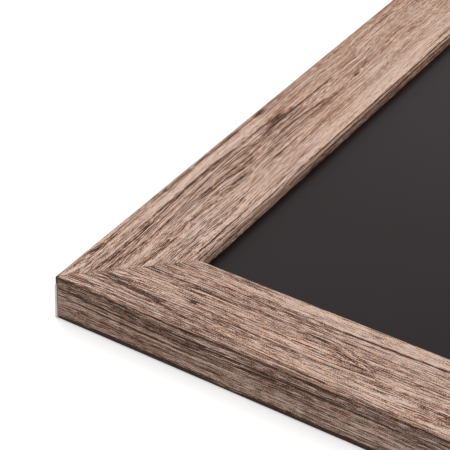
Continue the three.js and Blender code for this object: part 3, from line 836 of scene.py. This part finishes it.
side_turns = {"bottom": 0, "right": math.pi / 2, "top": math.pi, "left": -math.pi / 2}
point_nodes = [n for n in frame["nodes"] if "_flexible_point_" in n]
point_places = []
for node_name in point_nodes:
    low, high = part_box(node_name)
    turn = side_turns[node_name.split("_")[0]]
    inwards = Vector((-math.sin(turn), math.cos(turn), 0))
    root = (low + high) / 2 + inwards * (POINT_DRIVEN - POINT_FREE) / 2
    point_places.append(((root.x, root.y, high.z), turn))
flexible_points = set_out("flexible_points", point_pattern, point_places, zinc)
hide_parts(*point_nodes)
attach(flexible_points, "board")

# Hangers. Each is a zinc-plated strip, rolled at one end round a loop of nickel-plated wire, and held to the
# backing board by two domed rivets. A pair along the top hangs the board landscape, and a pair at the left
# portrait. The loops drop to the wall side when the board lies on its back.

WIRE_RADIUS = 1 * MM
WIRE_SIDES = 20
LOOP_REACH = 14 * MM
LOOP_BEND = 2 * MM
LOOP_BUTT_GAP = 0.6 * MM
LOOP_CLEARANCE = 0.3 * MM
PLATE_WIDTH = 12 * MM
PLATE_THICKNESS = 0.8 * MM
PLATE_REACH = 10.4 * MM
PLATE_CORNER = 2 * MM
PLATE_EDGE = 0.15 * MM
BARREL_RADIUS = 1.95 * MM
BARREL_END_PLAY = 0.4 * MM
RIVET_RADIUS = 1.5 * MM
RIVET_HEAD_RADIUS = 2.5 * MM
RIVET_HEAD = 0.7 * MM
RIVET_TAIL_RADIUS = 2.2 * MM
RIVET_TAIL = 0.6 * MM
RIVET_GRIP = 3.5 * MM
RIVET_SPACING = 6 * MM
RIVET_SET_BACK = 6.4 * MM
RIVET_SIDES = 28
SEAT_GAP = 0.1 * MM

hinges = {joint["child"]: (Vector(joint["pos_m"]), Vector(joint["axis"])) for joint in frame["joints"]}

half_plate = PLATE_WIDTH / 2
roll_radius = BARREL_RADIUS - PLATE_THICKNESS / 2
plate_rows = []
for angle in np.linspace(0, math.pi / 2, 6):
    narrowed = PLATE_CORNER * (1 - math.sin(angle))
    plate_rows.append((PLATE_REACH - PLATE_CORNER + PLATE_CORNER * math.cos(angle), roll_radius,
                       half_plate - narrowed))
plate_rows.append((PLATE_REACH / 2, roll_radius, half_plate))
for angle in np.radians(np.linspace(90, 375, 25)):
    plate_rows.append((roll_radius * math.cos(angle), roll_radius * math.sin(angle), half_plate))
plate_pattern = pressed_strip("plate_pattern", plate_rows, PLATE_THICKNESS, PLATE_EDGE)

plate_places = [((*pos,), math.atan2(axis.y, axis.x)) for pos, axis in hinges.values()]
hanger_plates = set_out("hanger_plates", plate_pattern, plate_places, zinc)
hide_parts(*[n for n in frame["nodes"] if n.endswith("_hanger_plate")])
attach(hanger_plates, "board")

# Plain steel rivets, tumbled: a darker and duller grey metal, with the small dents of the drum.
rivet_steel, tree = new_finish("tumbled steel rivet")
rivet_place = add_node(tree, "TexCoord").outputs["Object"]
dents = add_node(tree, "TexNoise", {"Vector": rivet_place, "Scale": 1 / (0.7 * MM), "Detail": 2.0})
steel_colour = shaded(tree, dents, 0.3, 0.7, "#8f9195", "#b4b6b9")
surface(tree, steel_colour, 0.38, dents, 0.3, 0.04 * MM, {"Metallic": 1.0})

rivet_profile = [(0, -SEAT_GAP - RIVET_HEAD)]
for angle in np.radians(np.linspace(15, 90, 6)):
    rivet_profile.append((RIVET_HEAD_RADIUS * math.sin(angle), -SEAT_GAP - RIVET_HEAD * math.cos(angle)))
rivet_profile += [(RIVET_RADIUS, -SEAT_GAP), (RIVET_RADIUS, RIVET_GRIP), (RIVET_TAIL_RADIUS, RIVET_GRIP),
                  ((RIVET_RADIUS + RIVET_TAIL_RADIUS) / 2, RIVET_GRIP + RIVET_TAIL),
                  (0, RIVET_GRIP + RIVET_TAIL)]
turned = bmesh.new()
profile_verts = [turned.verts.new((r, 0, z)) for r, z in rivet_profile]
edges = [turned.edges.new(pair) for pair in zip(profile_verts, profile_verts[1:])]
bmesh.ops.spin(turned, geom=profile_verts + edges, cent=(0, 0, 0), axis=(0, 0, 1), angle=2 * math.pi,
               steps=RIVET_SIDES, use_duplicate=False)
bmesh.ops.remove_doubles(turned, verts=turned.verts, dist=WELD)
bmesh.ops.recalc_face_normals(turned, faces=turned.faces)
rivet_data = mesh_data("rivet_pattern", turned)
rivet_data.shade_smooth()
rivet_data.set_sharp_from_angle(angle=math.radians(45))
rivet_pattern = put_in_scene("rivet_pattern", rivet_data)

rivet_places = []
for pos, axis in hinges.values():
    inwards = Vector((0, 0, 1)).cross(axis)
    for side in (-1, 1):
        seat = pos + axis * side * RIVET_SPACING / 2 + inwards * RIVET_SET_BACK
        rivet_places.append(((seat.x, seat.y, pos.z + BARREL_RADIUS - PLATE_THICKNESS), 0.0))
rivets = set_out("rivets", rivet_pattern, rivet_places, rivet_steel)
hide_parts(*[n for n in frame["nodes"] if "_rivet_" in n])
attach(rivets, "board")

# Nickel-plated drawn wire, bright and a little warm, with slight rubs. The die's marks are finer than a
# hair, and are drawn 0.25 mm coarse so that they show.
nickel, tree = new_finish("nickel plate on drawn wire")
nickel_place = add_node(tree, "TexCoord").outputs["Object"]
wear = add_node(tree, "TexNoise", {"Vector": nickel_place, "Scale": 1 / (2.2 * MM), "Detail": 3.0})
nickel_colour = shaded(tree, wear, 0.3, 0.7, "#b5b1a9", "#d3d0c8")
nickel_gloss = add_node(tree, "MapRange", {
    "Value": wear, "From Min": 0.3, "From Max": 0.7, "To Min": 0.16, "To Max": 0.3})
die_marks = add_node(tree, "TexNoise", {"Vector": nickel_place, "Scale": 1 / (0.25 * MM), "Detail": 1.0})
surface(tree, nickel_colour, nickel_gloss, die_marks, 0.1, 0.01 * MM, {"Metallic": 1.0})

# Wire that follows a path: a round section of a given radius, closed at its two ends.
wire_forming, wire_given, wire_inputs = new_group(
    "wire formed along a path", "GeometryNodeTree",
    {"Geometry": "Geometry", "Radius": "Float", "Sides": "Int", "Finish": "Material"},
    {"Geometry": "Geometry"})
round_section = add_node(wire_forming, "GeometryNodeCurvePrimitiveCircle", {
    "Resolution": wire_given["Sides"], "Radius": wire_given["Radius"]})
path_curve = add_node(wire_forming, "GeometryNodeMeshToCurve", {"Mesh": wire_given["Geometry"]})
tube = add_node(wire_forming, "GeometryNodeCurveToMesh", {
    "Curve": path_curve, "Profile Curve": round_section, "Fill Caps": True})
whole = add_node(wire_forming, "GeometryNodeRealizeInstances", {"Geometry": tube})
coated = add_node(wire_forming, "GeometryNodeSetMaterial", {
    "Geometry": whole, "Material": wire_given["Finish"]})
add_node(wire_forming, "NodeGroupOutput", {"Geometry": coated})

# The loop is a D: a bar with a butt gap in the barrel, two small bends and a wide bow.
bar_end = PLATE_WIDTH / 2 + BARREL_END_PLAY
bow_radius = bar_end + LOOP_BEND
bow_start = LOOP_REACH - bow_radius
wire_path = [(LOOP_BUTT_GAP / 2, 0), (bar_end / 2, 0)]
for x, y, radius, start, end, points in (
        (bar_end, LOOP_BEND, LOOP_BEND, -math.pi / 2, 0, 9),
        (0, bow_start, bow_radius, 0, math.pi, 41),
        (-bar_end, LOOP_BEND, LOOP_BEND, math.pi, 1.5 * math.pi, 9)):
    angles = np.linspace(start, end, points)
    wire_path += [(x + radius * math.cos(a), y + radius * math.sin(a)) for a in angles]
wire_path += [(-bar_end / 2, 0), (-LOOP_BUTT_GAP / 2, 0)]
path_data = bpy.data.meshes.new("loop_path")
path_data.from_pydata([(x, -y, 0) for x, y in wire_path], [(i, i + 1) for i in range(len(wire_path) - 1)], [])
path_piece = put_in_scene("loop_path", path_data)
modifier = path_piece.modifiers.new("wire", "NODES")
modifier.node_group = wire_forming
modifier[wire_inputs["Radius"]] = WIRE_RADIUS
modifier[wire_inputs["Sides"]] = WIRE_SIDES
modifier[wire_inputs["Finish"]] = nickel
apply_modifiers(path_piece)
loop_data = path_piece.data
bpy.data.objects.remove(path_piece)
loop_data.shade_smooth()
loop_data.set_sharp_from_angle(angle=math.radians(45))
for body, (pos, axis) in hinges.items():
    inwards = Vector((0, 0, 1)).cross(axis)
    droop = math.asin((pos.z - WIRE_RADIUS - LOOP_CLEARANCE) / LOOP_REACH)
    shape = loop_data.copy()
    shape.transform(Matrix.Translation(pos) @ Matrix((axis, inwards, (0, 0, 1))).transposed().to_4x4()
                    @ Matrix.Rotation(droop, 4, "X"))
    name = body.removesuffix("_loop")
    loop = put_in_scene(name + "_wire_loop", shape)
    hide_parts(name + "_hanging_loop")
    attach(loop, body)

# Camera. It looks down at the corner where the bottom rail meets the left stile, through a long lens and
# rolled by three degrees. Its place and angles were fitted to the frame's edges in the photograph.

AZIMUTH, ELEVATION, ROLL = math.radians(-29.79), math.radians(34.53), math.radians(2.98)
CAMERA_PLACE = (0.00394, -0.60376, 0.39248)
LENS = 132.7
SENSOR_WIDTH = 36

flat = math.cos(ELEVATION)
forward = Vector((math.sin(AZIMUTH) * flat, math.cos(AZIMUTH) * flat, -math.sin(ELEVATION)))
level_right = Vector((math.cos(AZIMUTH), -math.sin(AZIMUTH), 0))
level_up = level_right.cross(forward)
right = math.cos(ROLL) * level_right + math.sin(ROLL) * level_up
up = -math.sin(ROLL) * level_right + math.cos(ROLL) * level_up
camera = put_in_scene("camera", bpy.data.cameras.new("camera"))
camera.data.lens = LENS
camera.data.sensor_width = SENSOR_WIDTH
camera.matrix_world = Matrix.Translation(CAMERA_PLACE) @ Matrix((right, up, -forward)).transposed().to_4x4()
bpy.context.scene.camera = camera

# White paper sweep. It keeps the board's shadow, and shows white to the camera and in the metal. From below
# it is clear, so that the back can be seen.

SWEEP_REACH = 3.0
SWEEP_LEVEL = -0.2 * MM
SWEEP_GLOW = 0.47


def seen_directly(tree):
    """1 for what the camera sees, straight or in a mirror or glass, and 0 for light that falls on things."""
    path = add_node(tree, "LightPath").outputs
    seen = path["Is Camera Ray"]
    for ray in ("Is Glossy Ray", "Is Transmission Ray"):
        seen = add_node(tree, "Math", {0: seen, 1: path[ray]}, operation="MAXIMUM")
    return seen


floor_data = bpy.data.meshes.new("floor")
corner_signs = ((-1, -1), (1, -1), (1, 1), (-1, 1))
floor_data.from_pydata([(x * SWEEP_REACH, y * SWEEP_REACH, SWEEP_LEVEL) for x, y in corner_signs], [],
                       [(0, 1, 2, 3)])
floor = put_in_scene("floor", floor_data)
floor.visible_shadow = False
paper, tree = new_finish("white paper sweep")
paper_lift = add_node(tree, "Math", {0: seen_directly(tree), 1: SWEEP_GLOW}, operation="MULTIPLY")
glow = add_node(tree, "Emission", {"Color": (1, 1, 1, 1), "Strength": paper_lift})
sheet = add_node(tree, "BsdfDiffuse", {"Color": linear("#e8e8e8")})
lit = add_node(tree, "AddShader", {0: sheet, 1: glow})
clear = add_node(tree, "BsdfTransparent")
underside = add_node(tree, "NewGeometry").outputs["Backfacing"]
one_sided = add_node(tree, "MixShader", {0: underside, 1: lit, 2: clear})
add_node(tree, "OutputMaterial", {"Surface": one_sided})
floor_data.materials.append(paper)

# Soft studio light. The room is white to the camera and in the metal, but lights the board only a little. A
# wide lamp hangs overhead, a smaller one stands low at the right, and one under the floor lights the back.

ROOM_LIGHT = 0.1
LAMPS = [
    ("overhead", (-1.1, 0.0, 2.0), 2.0, 39.0),
    ("card", (1.7, -0.6, 0.42), 1.2, 16.0),
    ("under", (0, 0, -2.5), 0.5, 26.0),
]

world = bpy.data.worlds.new("studio")
bpy.context.scene.world = world
world.use_nodes = True
world.node_tree.nodes.clear()
room_strength = add_node(world.node_tree, "MapRange", {
    "Value": seen_directly(world.node_tree), "To Min": ROOM_LIGHT, "To Max": 1.0})
room = add_node(world.node_tree, "Background", {"Color": (1, 1, 1, 1), "Strength": room_strength})
add_node(world.node_tree, "OutputWorld", {"Surface": room})

for name, location, size, power in LAMPS:
    lamp = put_in_scene(name, bpy.data.lights.new(name, "AREA"))
    lamp.data.shape = "SQUARE"
    lamp.data.size = size
    lamp.data.energy = power
    lamp.location = location
    lamp.rotation_euler = (-Vector(location)).to_track_quat("-Z", "Y").to_euler()

bpy.context.scene.view_settings.view_transform = "Standard"
